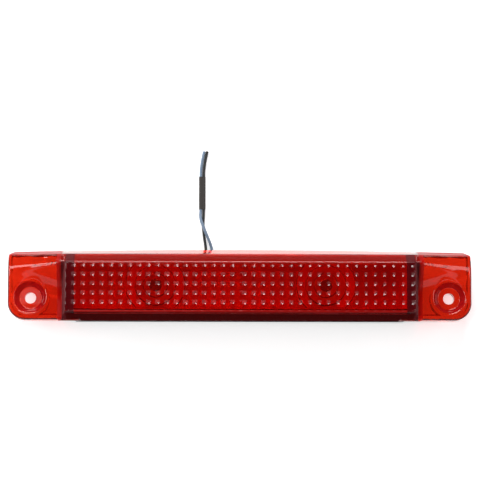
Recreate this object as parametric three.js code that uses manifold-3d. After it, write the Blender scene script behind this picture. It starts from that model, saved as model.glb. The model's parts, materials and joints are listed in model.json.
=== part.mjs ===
// A third brake light: a one-piece red lens with an ear at each end, on a black housing
// that holds a bright reflector and two wedge bulbs in turn-to-lock sockets.
// Millimetres. The lamp lies on its back: +X along the lamp, +Y towards its upper edge,
// +Z out of the lens. The origin is under the middle of the lens, level with the back edge.

import * as THREE from 'three';
import { mergeVertices } from 'three/addons/utils/BufferGeometryUtils.js';
import Module from 'manifold-3d';

const wasm = await Module();
wasm.setup();

// ---- driving dimensions ----------------------------------------------------------------

const GAP = 0.3; // left between pieces that touch

const LENS = {
  length: 286,
  bottom: -22.2, // lower edge of the rim
  top: 22.2, // upper edge of the rim at mid-length
  crown: 1.7, // how far the upper edge falls away at the ends
  rimZ: 10,
  wall: 2.2,
  bottomCorner: 10.5,
  topCorner: 4,
};

// The raised block in the middle, as heights above the rim.
const BLOCK = {
  faceHalf: 107, // half length of the front face
  baseHalf: 111.6, // half length where the end walls meet the rim
  depth: 25,
  faceBottom: -19.3,
  crease: 12.1, // upper edge of the front face
  shoulderY: 17.2, // front edge of the top face
  shoulderZ: 18,
  innerHalf: 108.4, // half length of the sealed chamber
  endWallHalf: 110.8, // far side of the wall that closes the chamber
};

// Each ear has a flat floor round its screw, and a ridge that falls from the block's crease to
// the end. Heights are above the rim.
const EAR = {
  start: 111,
  frontY: -21.2,
  frontZ: 9.6,
  floorY: [-3, 5], // far edge of the flat floor, at the block and at the end
  floorZ: 10.3,
  crease: [11.7, 8], // Y at the block and at the end
  creaseZ: [24.3, 12.1],
  shoulderY: [17.2, 18.2],
  shoulderZ: [17.6, 9],
};

const SCREW = {
  x: 129.3,
  y: -8.6,
  holeR: 3.45,
  seatR: 6.9,
  mouthR: 10,
  seatZ: 15.8, // height of the seat
  mouthZ: 20.3,
  bossR: 11.8,
};

const HOUSING = {
  skirtHalf: 99.5,
  skirtBottom: -17.8,
  skirtTop: 16.8,
  corner: 4,
  wall: 2.2,
  panelZ: 6.4,
  panelTop: 8.4,
  flangeZ: 10.3,
  flangeTop: 12.3,
  flangeHalf: 106.2,
  flangeBottom: -18,
  flangeUpper: 16.9,
  endWallZ: 31.5,
  endWallThick: 2.8, // at the flange; above the seal the end walls thicken to fill the lens
  thickEndZ: 12.6,
  sideWallZ: 16,
  sideWallThick: 1.4,
};

const GASKET = {
  half: 104,
  bottom: -22.1,
  top: 21.2,
  tongueHalf: 111.2, // the tongues reach under the lens's end walls
  tongueBottom: -20.4,
  tongueTop: 19.4,
  corner: 3,
  z: 4,
  thick: 5.7,
  innerGap: 0.4,
};

const SEAL = { width: 1.3, thick: 1.7 };

const REFLECTOR = {
  frontHalf: 103,
  frontBottom: -17.2,
  frontTop: 12.2,
  frontZ: 30.5,
  floorZ: 17,
  draft: 1.6,
  wall: 1.3,
  bowlR: 11,
  bowlHoleR: 8.6,
  bowlZ: 11.4,
  postR: 3,
  pilotR: 1.55,
};

const BULB = {
  x: 52,
  y: -3.5,
  glassR: 5.15,
  glassWall: 0.6,
  baseZ: 3.6,
  baseTop: 12.6,
  baseWidth: 9.2,
  baseThick: 4.6,
  bodyZ: 16,
  domeZ: 26,
  tipZ: 30.4,
  pumpR: 0.6,
};

const SOCKET = {
  barrelR: 7.4,
  barrelTop: 13.5,
  flangeR: 10.5,
  flangeZ: 3.2,
  flangeTop: 5,
  bossR: 4.5,
  bossZ: 0.6,
  holeR: 7.8,
  lugR: 9.3,
  lugWidth: 4,
  lugZ: 8.8,
  lugTop: 10.3,
  lugClear: 0.35,
  pocketWidth: 9.8,
  pocketThick: 7.8,
  gripWidth: 3,
  gripInner: 5.4,
  gripOuter: 9.9,
  gripZ: 0.9,
  releaseAngle: Math.PI / 4,
};

const SOCKET_SEAL = { innerR: 8.2, outerR: 10.1, z: 5.3, thick: 0.8 };

const CONTACT = { width: 5, thick: 0.5, inner: 2.65, z: 3.6, height: 7.6, foot: 0.6 };

const FIXING = { headR: 2.7, headZ: 3.9, headTop: 6.1, shankR: 1.25, tipZ: 15, panelHoleR: 1.7 };
const FIXING_PLACES = [[-86, 5.5], [-26, -11], [26, -11], [86, 5.5]];

const GROMMET = {
  x: -18.9,
  halfWidth: 4.5,
  z: 0.2,
  top: 3.7,
  inner: 13,
  outer: 18.4,
  flange: 1.3,
  neck: 0.6, // how far the neck is stepped in from the flanges
};

const LEAD = { d: 1.8, sides: 8, blackX: -20.9, greyX: -16.9 };
const SPLICE = { r: 1.6, length: 8, z: 3, upperZ: 4, lowerZ: 2 };
const INNER_LEAD = { spread: 1.2, entryZ: 1.9 };

const SLEEVE = { x: -23.5, start: 49.2, length: 20.8, halfWidth: 2.12, height: 2.25, wall: 0.18 };

// The free leads, from the grommet to their cut ends. The grey one passes over the black one.
const BLACK_ROUTE = [
  [-20.9, 18.7, 1], [-21, 22, 0.95], [-21.4, 26, 0.95], [-22.1, 31, 0.95], [-22.7, 36, 0.95],
  [-22.9, 40, 0.95], [-22.7, 44.5, 1], [-22.58, 49, 1.12], [-22.58, 56, 1.12], [-22.58, 63, 1.12],
  [-22.58, 70, 1.12], [-22.4, 74.5, 1], [-21.6, 80.5, 0.95], [-20.4, 86.5, 0.95],
];
const GREY_ROUTE = [
  [-16.9, 18.7, 1], [-17.1, 22, 1.1], [-18.3, 27, 1.7], [-20.1, 31.5, 2.5], [-21.8, 35.5, 2.95],
  [-23.3, 39.5, 2.85], [-24.2, 42, 2.35], [-24.6, 45, 1.5], [-24.45, 49, 1.12],
  [-24.42, 56, 1.12], [-24.42, 63, 1.12], [-24.42, 70, 1.12], [-24.3, 74.5, 1],
  [-23.5, 80.5, 0.95], [-22.3, 86.5, 0.95],
];

// ---- materials -------------------------------------------------------------------------

const finish = (color, roughness, metalness = 0) => () =>
  new THREE.MeshStandardMaterial({ color, roughness, metalness });

const redAcrylic = finish(0xc8140c, 0.15);
const blackPlastic = finish(0x17171a, 0.55);
const greyNylon = finish(0xcfd1d0, 0.5);
const brightFilm = finish(0xdcdde0, 0.12, 1);
const foam = finish(0x2b2a29, 0.95);
const sealant = finish(0x3a3a3c, 0.7);
const rubber = finish(0x1d1d1d, 0.8);
const clearGlass = finish(0xe8eef0, 0.05);
const tungsten = finish(0x8f8f8c, 0.4, 1);
const brass = finish(0xc39a4a, 0.35, 1);
const zincSteel = finish(0xb9bbb8, 0.35, 1);
const blackSheath = finish(0x232425, 0.5);
const greySheath = finish(0x7d90a8, 0.5);
const heatShrink = finish(0x3f3b37, 0.75);

// ---- solids ----------------------------------------------------------------------------

function solid(geometry) {
  const bare = geometry.clone();
  bare.deleteAttribute('normal');
  bare.deleteAttribute('uv');
  const merged = mergeVertices(bare, 1e-4);
  return new wasm.Manifold(new wasm.Mesh({
    numProp: 3,
    vertProperties: new Float32Array(merged.attributes.position.array),
    triVerts: new Uint32Array(merged.index.array),
  }));
}

function geometryOf(body) {
  const mesh = body.getMesh();
  const geometry = new THREE.BufferGeometry();
  const position = new THREE.BufferAttribute(new Float32Array(mesh.vertProperties), 3);
  geometry.setAttribute('position', position);
  geometry.setIndex(new THREE.BufferAttribute(new Uint32Array(mesh.triVerts), 1));
  geometry.computeVertexNormals();
  return geometry;
}

const union = (bodies) => bodies.reduce((whole, body) => whole.add(body));
const common = (bodies) => bodies.reduce((whole, body) => whole.intersect(body));
const cutAll = (whole, cuts) => cuts.reduce((rest, cut) => rest.subtract(cut), whole);

function box(low, high) {
  const size = low.map((value, i) => high[i] - value);
  const middle = low.map((value, i) => (high[i] + value) / 2);
  return solid(new THREE.BoxGeometry(...size).translate(...middle));
}

/** A round solid on the Z axis, from its profile of [radius, height] points. */
function turned(profile, sides = 32) {
  const points = profile.map(([r, z]) => new THREE.Vector2(r, z));
  return solid(new THREE.LatheGeometry(points, sides).rotateX(Math.PI / 2));
}

function disc(x, y, r, low, high, sides = 32) {
  return turned([[0, low], [r, low], [r, high], [0, high]], sides).translate(x, y, 0);
}

function ringProfile(innerR, outerR, low, high) {
  return [[innerR, low], [outerR, low], [outerR, high], [innerR, high], [innerR, low]];
}

function roundedRectangle(left, bottom, right, top, r) {
  const shape = new THREE.Shape();
  shape.moveTo(left + r, bottom);
  shape.lineTo(right - r, bottom);
  shape.absarc(right - r, bottom + r, r, -Math.PI / 2, 0);
  shape.lineTo(right, top - r);
  shape.absarc(right - r, top - r, r, 0, Math.PI / 2);
  shape.lineTo(left + r, top);
  shape.absarc(left + r, top - r, r, Math.PI / 2, Math.PI);
  shape.lineTo(left, bottom + r);
  shape.absarc(left + r, bottom + r, r, Math.PI, Math.PI * 1.5);
  return shape;
}

function slab(shape, low, high, curveSegments = 6) {
  const options = { depth: high - low, bevelEnabled: false, curveSegments };
  return solid(new THREE.ExtrudeGeometry(shape, options).translate(0, 0, low));
}

function tube(points, d, steps) {
  const curve = new THREE.CatmullRomCurve3(points.map((p) => new THREE.Vector3(...p)));
  const section = new THREE.Shape();
  for (let i = 0; i < LEAD.sides; i += 1) {
    const angle = (i + 0.5) * 2 * Math.PI / LEAD.sides;
    const x = d / 2 * Math.cos(angle);
    const y = d / 2 * Math.sin(angle);
    if (i === 0) section.moveTo(x, y);
    else section.lineTo(x, y);
  }
  return new THREE.ExtrudeGeometry(section, { extrudePath: curve, steps, bevelEnabled: false });
}

// ---- lens ------------------------------------------------------------------------------

const mix = (a, b, t) => a + (b - a) * t;
const crownAt = (x) => LENS.crown * (2 * x / LENS.length) ** 2;

/** The block's section at x as [y, z] points, from the lower rim round to the upper rim. */
function blockSection(x) {
  const face = LENS.rimZ + BLOCK.depth;
  return [
    [LENS.bottom, LENS.rimZ],
    [BLOCK.faceBottom, face],
    [BLOCK.crease, face],
    [BLOCK.shoulderY, LENS.rimZ + BLOCK.shoulderZ],
    [LENS.top - crownAt(x), LENS.rimZ],
  ];
}

/** An ear's section at x: a low floor, and a ridge that rises towards the block's crease. */
function earSection(x) {
  const t = THREE.MathUtils.clamp((Math.abs(x) - EAR.start) / (LENS.length / 2 - EAR.start), 0, 1);
  return [
    [LENS.bottom, LENS.rimZ],
    [EAR.frontY, LENS.rimZ + EAR.frontZ],
    [mix(...EAR.floorY, t), LENS.rimZ + EAR.floorZ],
    [mix(...EAR.crease, t), LENS.rimZ + mix(...EAR.creaseZ, t)],
    [mix(...EAR.shoulderY, t), LENS.rimZ + mix(...EAR.shoulderZ, t)],
    [LENS.top - crownAt(x), LENS.rimZ],
  ];
}

/** Moves a section's sides inwards; its last side, on the rim, moves out to open it. */
function insetSection(points, inset) {
  const sides = points.map(([y, z], i) => {
    const [nextY, nextZ] = points[(i + 1) % points.length];
    const length = Math.hypot(nextY - y, nextZ - z);
    const normal = [(nextZ - z) / length, -(nextY - y) / length];
    const shift = i === points.length - 1 ? -1 : inset;
    return { normal, offset: normal[0] * y + normal[1] * z + shift };
  });
  return sides.map((side, i) => {
    const before = sides[(i + sides.length - 1) % sides.length];
    const det = before.normal[0] * side.normal[1] - before.normal[1] * side.normal[0];
    return [
      (before.offset * side.normal[1] - side.offset * before.normal[1]) / det,
      (before.normal[0] * side.offset - side.normal[0] * before.offset) / det,
    ];
  });
}

/** A closed solid through sections of equal point counts, in order of x. */
function loft(stations, sectionAt) {
  const rows = stations.map((x) => sectionAt(x).map(([y, z]) => [x, y, z]));
  const count = rows[0].length;
  const index = [];
  for (let row = 0; row + 1 < rows.length; row += 1) {
    for (let i = 0; i < count; i += 1) {
      const a = row * count + i;
      const b = row * count + (i + 1) % count;
      index.push(a, b, b + count, a, b + count, a + count);
    }
  }
  const end = (rows.length - 1) * count;
  const hub = count - 1;
  for (let i = 0; i + 1 < hub; i += 1) {
    index.push(hub, i + 1, i);
    index.push(end + hub, end + i, end + i + 1);
  }
  const geometry = new THREE.BufferGeometry();
  const position = new THREE.Float32BufferAttribute(rows.flat(2), 3);
  geometry.setAttribute('position', position);
  geometry.setIndex(index);
  const body = solid(geometry);
  return body.volume() > 0 ? body : solid(flipped(geometry));
}

function flipped(geometry) {
  const turnedOver = geometry.clone();
  const order = turnedOver.index.array;
  for (let i = 0; i < order.length; i += 3) [order[i], order[i + 1]] = [order[i + 1], order[i]];
  return turnedOver;
}

function stationsBetween(from, to, steps) {
  return Array.from({ length: steps + 1 }, (_, i) => mix(from, to, i / steps));
}

/** The lamp's outline seen from the front, drawn in by inset. */
function outline(inset) {
  const x = LENS.length / 2 - inset;
  const low = LENS.bottom + inset;
  const high = LENS.top - LENS.crown - inset;
  const r = LENS.bottomCorner - inset;
  const R = LENS.topCorner;
  const shape = new THREE.Shape();
  shape.moveTo(-x + r, low);
  shape.lineTo(x - r, low);
  shape.absarc(x - r, low + r, r, -Math.PI / 2, 0);
  shape.lineTo(x, high - R);
  shape.absarc(x - R, high - R, R, 0, Math.PI / 2);
  shape.quadraticCurveTo(0, high + 2 * LENS.crown, -x + R, high);
  shape.absarc(-x + R, high - R, R, Math.PI / 2, Math.PI);
  shape.lineTo(-x, low + r);
  shape.absarc(-x + r, low + r, r, Math.PI, Math.PI * 1.5);
  return slab(shape, 0, LENS.rimZ + BLOCK.depth + 1, 12);
}

/** The wedge between the block's drafted end walls. */
function betweenEnds(inset) {
  const top = LENS.rimZ + BLOCK.depth;
  const slope = (BLOCK.baseHalf - BLOCK.faceHalf) / BLOCK.depth;
  const half = (z) => BLOCK.baseHalf - inset - slope * (z - LENS.rimZ);
  const shape = new THREE.Shape();
  shape.moveTo(-half(0), 0);
  shape.lineTo(half(0), 0);
  shape.lineTo(half(top + 1), top + 1);
  shape.lineTo(-half(top + 1), top + 1);
  const wedge = new THREE.ExtrudeGeometry(shape, { depth: 60, bevelEnabled: false });
  return solid(wedge.rotateX(Math.PI / 2).translate(0, 30, 0));
}

function blockSolid(inset) {
  const section = (x) => (inset > 0 ? insetSection(blockSection(x), inset) : blockSection(x));
  const run = loft(stationsBetween(-113, 113, 8), section);
  return common([run, betweenEnds(inset)]);
}

function earSolid(side, inset) {
  const section = (x) => (inset > 0 ? insetSection(earSection(x), inset) : earSection(x));
  const near = side * 100;
  const far = side * (LENS.length / 2 + 1);
  return loft([near, ...stationsBetween(side * EAR.start, far, 5)], section);
}

/** The sealed space behind the block's face, drawn in from the lens walls by clearance. */
function chamber(clearance) {
  const half = BLOCK.innerHalf - clearance;
  const within = box([-half, -30, 0], [half, 30, 60]);
  return common([blockSolid(LENS.wall + clearance), within]);
}

function earHollow(side) {
  const near = BLOCK.endWallHalf;
  const beyond = side > 0 ? box([near, -30, 0], [160, 30, 60]) : box([-160, -30, 0], [-near, 30, 60]);
  return common([earSolid(side, LENS.wall), outline(LENS.wall), beyond]);
}

function screwRecess(side) {
  const slope = (SCREW.mouthR - SCREW.seatR) / (SCREW.mouthZ - SCREW.seatZ);
  const top = SCREW.mouthZ + 8;
  const mouth = turned([
    [0, SCREW.seatZ], [SCREW.seatR, SCREW.seatZ], [SCREW.seatR + slope * (top - SCREW.seatZ), top], [0, top],
  ]);
  return mouth.translate(side * SCREW.x, SCREW.y, 0);
}

function makeLens() {
  const outer = union([blockSolid(0), earSolid(-1, 0), earSolid(1, 0)]);
  const skin = common([outer, outline(0), box([-150, -30, LENS.rimZ], [150, 30, 60])]);
  let body = cutAll(skin, [chamber(0), earHollow(-1), earHollow(1)]);
  for (const side of [-1, 1]) {
    const boss = disc(side * SCREW.x, SCREW.y, SCREW.bossR, LENS.rimZ, 40);
    const hole = disc(side * SCREW.x, SCREW.y, SCREW.holeR, 0, 40, 24);
    body = body.add(common([boss, skin]));
    body = cutAll(body, [screwRecess(side), hole]);
  }
  return geometryOf(body);
}

// ---- housing, gasket and seal ----------------------------------------------------------

function skirtShape(grow) {
  const { skirtHalf: half, skirtBottom, skirtTop, corner } = HOUSING;
  return roundedRectangle(
    -half - grow, skirtBottom - grow, half + grow, skirtTop + grow, corner + grow,
  );
}

function flangeShape(grow) {
  const { flangeHalf: half, flangeBottom, flangeUpper } = HOUSING;
  return roundedRectangle(-half - grow, flangeBottom - grow, half + grow, flangeUpper + grow, 2);
}

/** The hole that a socket turns in, with the two slots that let its lugs out. */
function socketHole(side) {
  const low = HOUSING.panelZ - 1;
  const high = HOUSING.panelTop + 1;
  const half = SOCKET.lugWidth / 2 + SOCKET.lugClear;
  const reach = SOCKET.lugR + SOCKET.lugClear;
  const slots = box([-reach, -half, low], [reach, half, high]);
  const angle = THREE.MathUtils.radToDeg(SOCKET.releaseAngle);
  const hole = disc(0, 0, SOCKET.holeR, low, high);
  return hole.add(slots.rotate(0, 0, -angle)).translate(side * BULB.x, BULB.y, 0);
}

function grommetNotch() {
  const half = GROMMET.halfWidth - GROMMET.neck + GAP;
  const top = GROMMET.top - GROMMET.neck + GAP;
  return box([GROMMET.x - half, 10, -1], [GROMMET.x + half, 20, top]);
}

function makeHousing() {
  const h = HOUSING;
  const tray = slab(skirtShape(0), 0, h.flangeTop);
  const flange = slab(flangeShape(0), h.flangeZ, h.flangeTop);
  const backHollow = slab(skirtShape(-h.wall), -1, h.panelZ);
  const frontHollow = slab(skirtShape(-h.wall), h.panelTop, 60);
  const rim = slab(flangeShape(0), h.flangeZ, h.sideWallZ)
    .subtract(slab(flangeShape(-h.sideWallThick), 0, 60));
  const ends = [-1, 1].map((side) => {
    const near = h.flangeHalf - h.endWallThick;
    const low = side > 0 ? near : -h.flangeHalf;
    return box([low, h.flangeBottom, h.flangeTop - 1], [low + h.endWallThick, h.flangeUpper, h.endWallZ]);
  });
  const upper = common([union([rim, ...ends]), slab(flangeShape(0), 0, 60), chamber(0.5)]);
  const near = h.flangeHalf - h.endWallThick;
  const thickEnds = [[-BLOCK.innerHalf, -near], [near, BLOCK.innerHalf]].map(([low, high]) =>
    box([low, h.flangeBottom, h.thickEndZ], [high, h.flangeUpper, h.endWallZ]));
  let body = cutAll(union([tray, flange]), [backHollow, frontHollow]);
  body = union([body, upper, common([union(thickEnds), chamber(0.5)])]);
  body = cutAll(body, [socketHole(-1), socketHole(1), grommetNotch()]);
  for (const [x, y] of FIXING_PLACES) {
    body = body.subtract(disc(x, y, FIXING.panelHoleR, h.panelZ - 1, h.panelTop + 1, 16));
  }
  return geometryOf(body);
}

function makeGasket() {
  const g = GASKET;
  const layer = (half, bottom, top) =>
    slab(roundedRectangle(-half, bottom, half, top, g.corner), g.z, g.z + g.thick);
  const outer = layer(g.half, g.bottom, g.top).add(layer(g.tongueHalf, g.tongueBottom, g.tongueTop));
  const inner = slab(skirtShape(g.innerGap), 0, 20);
  return geometryOf(outer.subtract(inner));
}

function makeLensSeal() {
  const low = HOUSING.flangeZ;
  const outer = slab(flangeShape(GAP + SEAL.width), low, low + SEAL.thick);
  return geometryOf(outer.subtract(slab(flangeShape(GAP), 0, 30)));
}

// ---- reflector -------------------------------------------------------------------------

/** A tray that narrows towards its floor, drawn in by inset. */
function taperedTray(inset, floor, top) {
  const r = REFLECTOR;
  const rows = [[r.floorZ - r.wall, r.draft], [r.frontZ, 0]].map(([z, taper]) => ({ z, taper }));
  const at = (z) => mix(rows[0].taper, rows[1].taper, (z - rows[0].z) / (rows[1].z - rows[0].z));
  const section = (z) => {
    const t = at(z) + inset;
    return [
      [-r.frontHalf + t, r.frontBottom + t, z],
      [r.frontHalf - t, r.frontBottom + t, z],
      [r.frontHalf - t, r.frontTop - t, z],
      [-r.frontHalf + t, r.frontTop - t, z],
    ];
  };
  const geometry = new THREE.BufferGeometry();
  const points = [...section(floor), ...section(top)].flat();
  geometry.setAttribute('position', new THREE.Float32BufferAttribute(points, 3));
  geometry.setIndex([
    0, 2, 1, 0, 3, 2, 4, 5, 6, 4, 6, 7,
    0, 1, 5, 0, 5, 4, 1, 2, 6, 1, 6, 5, 2, 3, 7, 2, 7, 6, 3, 0, 4, 3, 4, 7,
  ]);
  return solid(geometry);
}

function bowl(grow, low, high) {
  const r = REFLECTOR;
  const slope = (r.bowlR - r.bowlHoleR) / (r.floorZ - r.bowlZ);
  const radius = (z) => r.bowlHoleR + grow + slope * (z - r.bowlZ);
  return turned([[0, low], [radius(low), low], [radius(high), high], [0, high]]);
}

function makeReflector() {
  const r = REFLECTOR;
  let body = taperedTray(0, r.floorZ - r.wall, r.frontZ);
  for (const side of [-1, 1]) {
    body = body.add(bowl(r.wall, r.bowlZ, r.floorZ - 0.1).translate(side * BULB.x, BULB.y, 0));
  }
  for (const [x, y] of FIXING_PLACES) {
    body = body.add(disc(x, y, r.postR, HOUSING.panelTop + GAP, r.floorZ - 0.1, 20));
  }
  body = body.subtract(taperedTray(r.wall, r.floorZ, r.frontZ + 1));
  for (const side of [-1, 1]) {
    body = body.subtract(bowl(0, r.bowlZ - 1, r.floorZ + 0.5).translate(side * BULB.x, BULB.y, 0));
  }
  for (const [x, y] of FIXING_PLACES) {
    body = body.subtract(disc(x, y, r.pilotR, 0, FIXING.tipZ + GAP, 16));
  }
  return geometryOf(body);
}

function makeFixing() {
  const f = FIXING;
  const domeZ = f.headZ + 0.7;
  const screw = turned([
    [0, f.headZ], [f.headR - 0.9, f.headZ], [f.headR, domeZ], [f.headR, f.headTop],
    [f.shankR, f.headTop], [f.shankR, f.tipZ - 1.2], [0, f.tipZ],
  ], 16);
  const slot = 0.4;
  const cross = union([
    box([-1.5, -slot, 0], [1.5, slot, f.headZ + 1]),
    box([-slot, -1.5, 0], [slot, 1.5, f.headZ + 1]),
  ]);
  return geometryOf(screw.subtract(cross));
}

// ---- bulbs and sockets -----------------------------------------------------------------

function makeBulbGlass() {
  const b = BULB;
  const half = b.baseWidth / 2;
  const wedge = box([-half, -b.baseThick / 2, b.baseZ], [half, b.baseThick / 2, b.baseTop + 1.4]);
  const envelope = (inset) => {
    const r = b.glassR - inset;
    const dome = b.tipZ - inset - b.domeZ;
    const arc = [1, 2, 3, 4].map((i) => i * Math.PI / 10);
    return turned([
      [0, b.baseTop + inset], [2.2 - inset, b.baseTop + inset], [r, b.bodyZ + inset],
      ...arc.map((a) => [r * Math.cos(a), b.domeZ + dome * Math.sin(a)]),
      [0, b.tipZ - inset],
    ], 24);
  };
  const pump = disc(0, 0, b.pumpR, 0, b.bodyZ, 10);
  const body = cutAll(wedge.add(envelope(0)), [envelope(b.glassWall), pump]);
  return geometryOf(body);
}

/** Two lead-in posts held by a bead, with the coil between their tips. */
function makeFilament() {
  const reach = 2.2;
  const coilZ = 23;
  const posts = [-1, 1].map((side) => disc(side * reach, 0, 0.32, 17.2, coilZ, 8));
  const bead = box([-reach - 0.4, -0.7, 18.4], [reach + 0.4, 0.7, 19.6]);
  const coil = turned([[0, -reach], [0.4, -reach], [0.4, reach], [0, reach]], 8)
    .rotate(0, 90, 0)
    .translate(0, 0, coilZ - 0.2);
  return geometryOf(union([...posts, bead, coil]));
}

function makeSocket() {
  const s = SOCKET;
  const barrel = turned([
    [0, s.bossZ], [s.bossR, s.bossZ], [s.bossR, s.flangeZ], [s.flangeR, s.flangeZ],
    [s.flangeR, s.flangeTop], [s.barrelR, s.flangeTop], [s.barrelR, s.barrelTop], [0, s.barrelTop],
  ]);
  const lugs = box([-s.lugR, -s.lugWidth / 2, s.lugZ], [s.lugR, s.lugWidth / 2, s.lugTop]);
  const grips = [-1, 1].map((side) => {
    const low = side > 0 ? s.gripInner : -s.gripOuter;
    const high = side > 0 ? s.gripOuter : -s.gripInner;
    return box([-s.gripWidth / 2, low, s.gripZ], [s.gripWidth / 2, high, s.flangeZ + 0.5]);
  });
  const pocket = box(
    [-s.pocketWidth / 2, -s.pocketThick / 2, s.flangeZ],
    [s.pocketWidth / 2, s.pocketThick / 2, s.barrelTop + 1],
  );
  return geometryOf(union([barrel, lugs, ...grips]).subtract(pocket));
}

function makeSocketSeal() {
  const s = SOCKET_SEAL;
  return geometryOf(turned(ringProfile(s.innerR, s.outerR, s.z, s.z + s.thick), 28));
}

/** A folded brass blade that presses on one side of the bulb's base. */
function makeContact(side) {
  const c = CONTACT;
  const half = c.width / 2;
  const blade = box([-half, c.inner, c.z], [half, c.inner + c.thick, c.z + c.height]);
  const foot = box([-half, c.inner, c.z], [half, c.inner + c.thick + c.foot, c.z + c.thick]);
  return geometryOf(blade.add(foot).rotate(0, 0, side > 0 ? 0 : 180));
}

// ---- wiring ----------------------------------------------------------------------------

function makeGrommet() {
  const g = GROMMET;
  const wide = (low, high) =>
    box([g.x - g.halfWidth, low, g.z], [g.x + g.halfWidth, high, g.top]);
  const half = g.halfWidth - g.neck;
  const neck = box([g.x - half, g.inner, g.z], [g.x + half, g.outer, g.top - g.neck]);
  return geometryOf(union([wide(g.inner, g.inner + g.flange), neck, wide(g.outer - g.flange, g.outer)]));
}

function makeSplice(x) {
  const s = SPLICE;
  const end = GROMMET.inner - GAP;
  const body = turned([
    [0, 0], [s.r - 0.4, 0], [s.r, 0.5], [s.r, s.length - 0.5], [s.r - 0.4, s.length], [0, s.length],
  ], 12);
  return geometryOf(body.rotate(90, 0, 0).translate(x, end, s.z));
}

/**
 * A lead inside the back of the housing, from a splice to one side of a socket's boss. The one
 * that enters the boss at its upper side turns off early, and the other passes round it.
 */
function innerLead(fromX, side, offset) {
  const startY = GROMMET.inner - GAP - SPLICE.length - GAP;
  const z = side < 0 ? SPLICE.upperZ : SPLICE.lowerZ;
  const early = offset > 0;
  const y = BULB.y + offset;
  const points = [
    [fromX, startY, z],
    [fromX, startY - (early ? 1.2 : 4), z],
    [fromX + side * 2.5, startY - (early ? 3.5 : 7.4), z],
    [fromX + side * 9, early ? y + 1.1 : y, z],
    [side * (BULB.x - 17), y, INNER_LEAD.entryZ],
    [side * (BULB.x - SOCKET.bossR - 0.4), y, INNER_LEAD.entryZ],
  ];
  return tube(points, LEAD.d, 18);
}

function makeSleeve() {
  const s = SLEEVE;
  const oval = (halfWidth, halfHeight) => {
    const straight = halfWidth - halfHeight;
    const shape = new THREE.Shape();
    shape.moveTo(-straight, -halfHeight);
    shape.lineTo(straight, -halfHeight);
    shape.absarc(straight, 0, halfHeight, -Math.PI / 2, Math.PI / 2);
    shape.lineTo(-straight, halfHeight);
    shape.absarc(-straight, 0, halfHeight, Math.PI / 2, Math.PI * 1.5);
    return shape;
  };
  const outer = slab(oval(s.halfWidth, s.height / 2), 0, s.length);
  const inner = slab(oval(s.halfWidth - s.wall, s.height / 2 - s.wall), -1, s.length + 1);
  const body = outer.subtract(inner).rotate(-90, 0, 0);
  return geometryOf(body.translate(s.x, s.start, s.height / 2));
}

// ---- assembly --------------------------------------------------------------------------

const lamp = new THREE.Group();

function piece(name, geometry, material, parent = lamp) {
  const mesh = new THREE.Mesh(geometry, material());
  mesh.name = name;
  parent.add(mesh);
  return mesh;
}

piece('lens', makeLens(), redAcrylic);
piece('housing', makeHousing(), blackPlastic);
piece('lens_seal', makeLensSeal(), sealant);
piece('mounting_gasket', makeGasket(), foam);
piece('reflector', makeReflector(), brightFilm);

FIXING_PLACES.forEach(([x, y], i) => {
  piece(`reflector_screw_${i + 1}`, makeFixing(), zincSteel).position.set(x, y, 0);
});

for (const [side, label] of [[-1, 'left'], [1, 'right']]) {
  const holder = new THREE.Group();
  holder.position.set(side * BULB.x, BULB.y, 0);
  lamp.add(holder);
  piece(`bulb_socket_${label}`, makeSocket(), greyNylon, holder);
  piece(`socket_seal_${label}`, makeSocketSeal(), rubber, holder);
  piece(`bulb_glass_${label}`, makeBulbGlass(), clearGlass, holder);
  piece(`bulb_filament_${label}`, makeFilament(), tungsten, holder);
  piece(`feed_contact_${label}`, makeContact(1), brass, holder);
  piece(`ground_contact_${label}`, makeContact(-1), brass, holder);
  piece(`feed_wire_${label}`, innerLead(LEAD.greyX, side, side * INNER_LEAD.spread), greySheath);
  piece(`ground_wire_${label}`, innerLead(LEAD.blackX, side, -side * INNER_LEAD.spread), blackSheath);
}

piece('wire_grommet', makeGrommet(), rubber);
piece('feed_splice', makeSplice(LEAD.greyX), greySheath);
piece('ground_splice', makeSplice(LEAD.blackX), blackSheath);
piece('grey_lead', tube(GREY_ROUTE, LEAD.d, 34), greySheath);
piece('black_lead', tube(BLACK_ROUTE, LEAD.d, 34), blackSheath);
piece('heat_shrink_sleeve', makeSleeve(), heatShrink);

export default lamp;
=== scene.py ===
"""A third brake light lying on its back on a pale table: red acrylic lens with pillow optics and an ear
at each end, black housing, bright reflector, two wedge bulbs in turn-to-lock sockets, two short leads.
Lengths inside the functions are in millimetres of the CAD frame, and every mesh is written in metres."""

import json
import math

import bmesh
import bpy
import numpy as np
from mathutils import Matrix, Vector


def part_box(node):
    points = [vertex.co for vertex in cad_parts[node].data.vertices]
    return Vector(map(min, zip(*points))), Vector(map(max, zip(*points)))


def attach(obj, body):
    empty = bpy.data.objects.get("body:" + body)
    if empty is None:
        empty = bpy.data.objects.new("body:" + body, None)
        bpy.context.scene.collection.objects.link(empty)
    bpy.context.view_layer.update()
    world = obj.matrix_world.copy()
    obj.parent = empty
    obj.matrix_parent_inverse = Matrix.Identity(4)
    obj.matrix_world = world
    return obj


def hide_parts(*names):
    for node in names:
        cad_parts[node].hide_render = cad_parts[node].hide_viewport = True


MM = 0.001
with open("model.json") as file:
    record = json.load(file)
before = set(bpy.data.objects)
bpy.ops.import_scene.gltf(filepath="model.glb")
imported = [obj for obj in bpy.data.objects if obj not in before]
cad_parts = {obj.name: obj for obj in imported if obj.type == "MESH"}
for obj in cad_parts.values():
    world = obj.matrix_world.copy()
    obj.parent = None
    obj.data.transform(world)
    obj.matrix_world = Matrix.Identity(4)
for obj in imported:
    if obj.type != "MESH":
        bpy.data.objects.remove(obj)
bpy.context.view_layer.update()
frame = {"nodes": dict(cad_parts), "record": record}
NODES = frame["nodes"]


def box_mm(node):
    low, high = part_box(node)
    return np.array(low) / MM, np.array(high) / MM


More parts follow.
